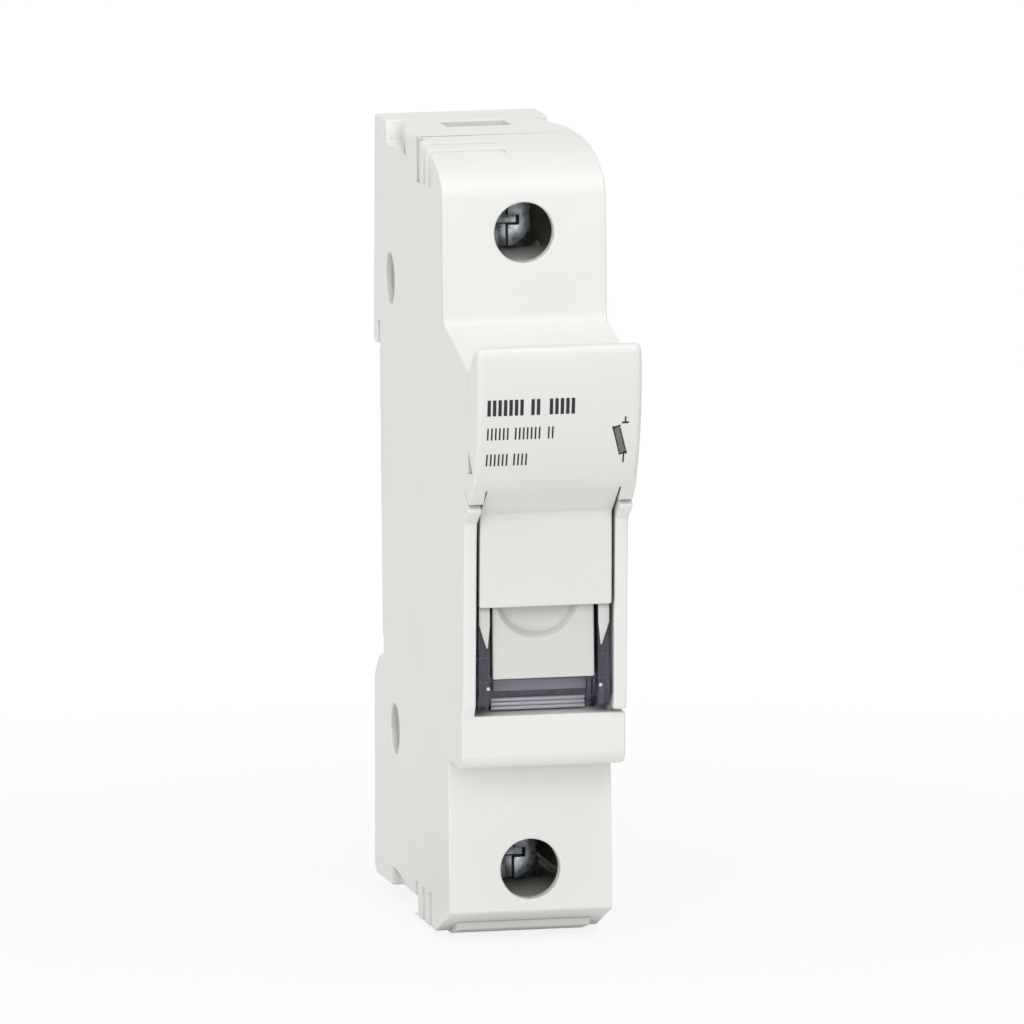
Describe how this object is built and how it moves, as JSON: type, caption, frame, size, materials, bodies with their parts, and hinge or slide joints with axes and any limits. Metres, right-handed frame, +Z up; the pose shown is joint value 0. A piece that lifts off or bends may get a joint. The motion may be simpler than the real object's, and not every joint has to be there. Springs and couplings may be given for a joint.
{
  "type": "din rail fuse holder",
  "caption": "Slim white modular fuse holder for a DIN rail: swing-out carrier with a handle holds a cylindrical fuse link between two screw terminals.",
  "frame": {"origin": "middle of the DIN rail seat, on the flat face that the rail's lips lie against", "axes": "+Z up along the body's height, across the rail; +Y from the handle to the rail, out of the seat; +X across the module's width, along the rail, to the right seen from the handle"},
  "size_m": [0.0176, 0.0603, 0.084],
  "materials": {
    "housing": "fine satin white thermoplastic",
    "cover": "fine satin white thermoplastic",
    "handle": "smooth satin white thermoplastic",
    "thumb_panel": "satin light grey thermoplastic",
    "smoked": "clear smoked polycarbonate, polished",
    "clip": "satin white polyamide",
    "ceramic": "opaque glazed ceramic",
    "cap": "nickel plate",
    "element": "silver",
    "contact": "tin plate on copper alloy",
    "zinc": "blue zinc plate",
    "spring": "plain spring steel"
  },
  "bodies": {
    "base": {"housing_shell": "housing", "side_cover": "cover", "rivet_upper": "zinc", "rivet_lower": "zinc", "upper_contact": "contact", "lower_contact": "contact", "upper_jaw_spring": "spring", "lower_jaw_spring": "spring", "rail_clip_spring": "spring"},
    "carrier": {"handle": "handle", "carrier_frame": "smoked", "thumb_panel": "thumb_panel", "fuse_tube": "ceramic", "fuse_cap_upper": "cap", "fuse_cap_lower": "cap", "fuse_element": "element"},
    "upper_screw_body": {"upper_screw": "zinc"},
    "lower_screw_body": {"lower_screw": "zinc"},
    "upper_cage_body": {"upper_cage": "zinc"},
    "lower_cage_body": {"lower_cage": "zinc"},
    "clip": {"rail_clip": "clip"}
  },
  "joints": [
    {"name": "carrier_hinge", "type": "hinge", "parent": "base", "child": "carrier", "pos_m": [0, -0.0419, -0.0159], "axis": [1, 0, 0], "range_deg": [0, 85]},
    {"name": "upper_cage_slide", "type": "slide", "parent": "base", "child": "upper_cage_body", "axis": [0, -1, 0], "range_m": [0, 0.0045]},
    {"name": "upper_screw_turn", "type": "hinge", "parent": "base", "child": "upper_screw_body", "pos_m": [0, -0.0195, 0.0313], "axis": [0, 1, 0], "range_deg": [0, 2026]},
    {"name": "lower_cage_slide", "type": "slide", "parent": "base", "child": "lower_cage_body", "axis": [0, -1, 0], "range_m": [0, 0.0045]},
    {"name": "lower_screw_turn", "type": "hinge", "parent": "base", "child": "lower_screw_body", "pos_m": [0, -0.0195, -0.0362], "axis": [0, 1, 0], "range_deg": [0, 2026]},
    {"name": "rail_clip_slide", "type": "slide", "parent": "base", "child": "clip", "axis": [0, 0, -1], "range_m": [0, 0.003], "stiffness_N_per_m": 600, "springref_m": -0.002, "deforming": ["rail_clip_spring"]}
  ],
  "couplings": [
    {"joint": "upper_screw_turn", "follows": "upper_cage_slide", "rad_per_m": 7854},
    {"joint": "lower_screw_turn", "follows": "lower_cage_slide", "rad_per_m": 7854}
  ]
}
